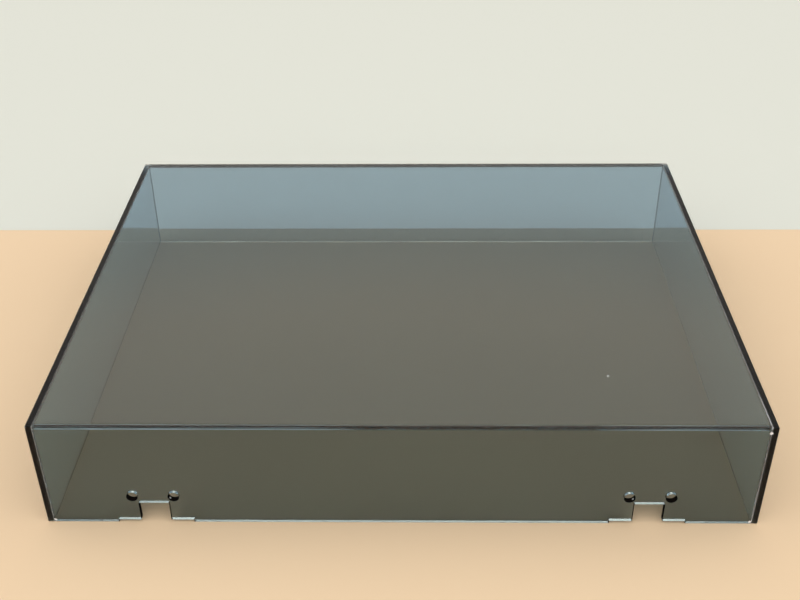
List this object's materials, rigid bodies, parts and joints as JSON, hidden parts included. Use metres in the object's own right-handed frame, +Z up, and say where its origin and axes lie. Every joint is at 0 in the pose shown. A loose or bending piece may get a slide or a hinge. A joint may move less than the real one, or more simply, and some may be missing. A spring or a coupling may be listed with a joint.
{
  "type": "turntable dust cover",
  "caption": "Open-bottomed box of smoked acrylic sheet that closes over a record deck, with stepped hinge cut-outs and screw holes along the rim of one wall.",
  "frame": {"origin": "middle of the cover at the level of its rim, where it stands on a flat surface", "axes": "+X along the hinge wall, +Y from the hinge wall to the front wall, +Z up to the top panel"},
  "size_m": [0.45, 0.35, 0.0785],
  "materials": {
    "smoked_acrylic": "polished"
  },
  "bodies": {
    "root": {"top_panel": "smoked_acrylic", "hinge_wall": "smoked_acrylic", "front_wall": "smoked_acrylic", "left_wall": "smoked_acrylic", "right_wall": "smoked_acrylic"}
  },
  "joints": []
}
